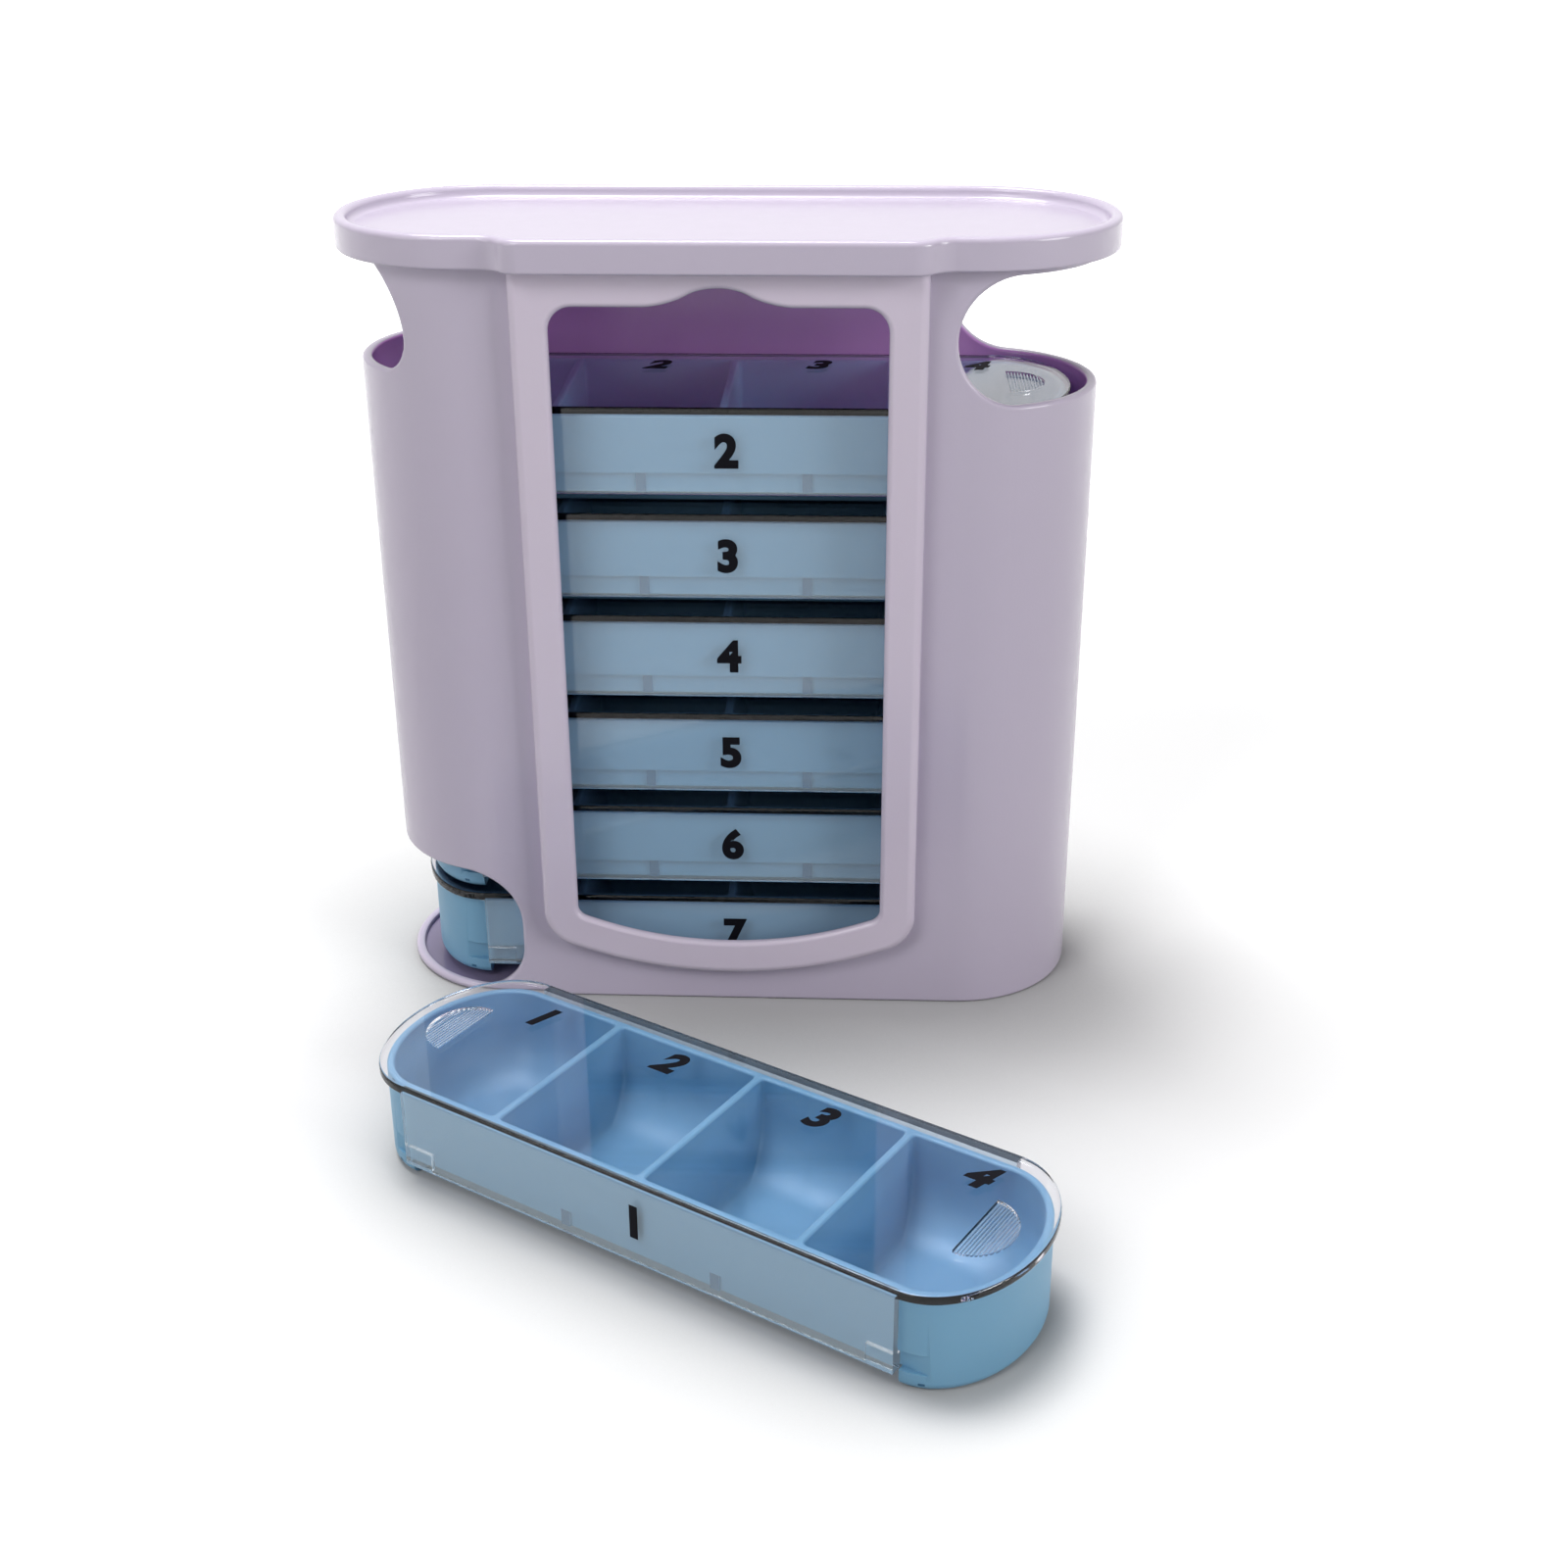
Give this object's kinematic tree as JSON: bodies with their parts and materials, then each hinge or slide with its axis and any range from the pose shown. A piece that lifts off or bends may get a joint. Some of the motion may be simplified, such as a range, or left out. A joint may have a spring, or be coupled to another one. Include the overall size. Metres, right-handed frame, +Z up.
{
  "type": "weekly pill organizer",
  "caption": "Pill tower with a windowed housing, a dished cap and a stack of day trays with clear sliding lids, and one more tray standing in front.",
  "frame": {"origin": "the middle of the tower's flat underside, on the surface that it stands on", "axes": "+X to the right along the tower's width, +Y to the back, +Z up; the window faces -Y and the loose tray stands in front of it"},
  "size_m": [0.1326, 0.1534, 0.1414],
  "materials": {
    "shell_plastic": "glossy pale lilac injection-moulded plastic",
    "tray_plastic": "glossy light blue injection-moulded plastic",
    "clear_plastic": "clear colourless injection-moulded plastic"
  },
  "bodies": {
    "tower": {"housing": "shell_plastic", "top_cap": "shell_plastic"},
    "tray_2": {"tray_2": "tray_plastic", "lid_2": "clear_plastic"},
    "tray_3": {"tray_3": "tray_plastic", "lid_3": "clear_plastic"},
    "tray_4": {"tray_4": "tray_plastic", "lid_4": "clear_plastic"},
    "tray_5": {"tray_5": "tray_plastic", "lid_5": "clear_plastic"},
    "tray_6": {"tray_6": "tray_plastic", "lid_6": "clear_plastic"},
    "tray_7": {"tray_7": "tray_plastic"},
    "lid_7": {"lid_7": "clear_plastic"},
    "tray_1": {"tray_1": "tray_plastic"},
    "lid_1": {"lid_1": "clear_plastic"}
  },
  "joints": [
    {"name": "tray_2_rise", "type": "slide", "parent": "tower", "child": "tray_2", "axis": [0, 0, 1], "range_m": [0, 0.0185]},
    {"name": "tray_3_rise", "type": "slide", "parent": "tower", "child": "tray_3", "axis": [0, 0, 1], "range_m": [0, 0.0185]},
    {"name": "tray_4_rise", "type": "slide", "parent": "tower", "child": "tray_4", "axis": [0, 0, 1], "range_m": [0, 0.0185]},
    {"name": "tray_5_rise", "type": "slide", "parent": "tower", "child": "tray_5", "axis": [0, 0, 1], "range_m": [0, 0.0185]},
    {"name": "tray_6_rise", "type": "slide", "parent": "tower", "child": "tray_6", "axis": [0, 0, 1], "range_m": [0, 0.0185]},
    {"name": "tray_7_slide", "type": "slide", "parent": "tower", "child": "tray_7", "axis": [-1, 0, 0], "range_m": [0, 0.125]},
    {"name": "lid_7_slide", "type": "slide", "parent": "tray_7", "child": "lid_7", "axis": [-1, 0, 0], "range_m": [0, 0.0566]},
    {"name": "tray_1_lift", "type": "slide", "parent": "tower", "child": "tray_1", "axis": [0, 0, 1], "range_m": [0, 0.06]},
    {"name": "lid_1_slide", "type": "slide", "parent": "tray_1", "child": "lid_1", "axis": [0.8581, -0.5135, 0], "range_m": [-0.05, 0.0566]}
  ],
  "couplings": [
    {"joint": "tray_3_rise", "follows": "tray_2_rise", "ratio": 1},
    {"joint": "tray_4_rise", "follows": "tray_2_rise", "ratio": 1},
    {"joint": "tray_5_rise", "follows": "tray_2_rise", "ratio": 1},
    {"joint": "tray_6_rise", "follows": "tray_2_rise", "ratio": 1}
  ]
}
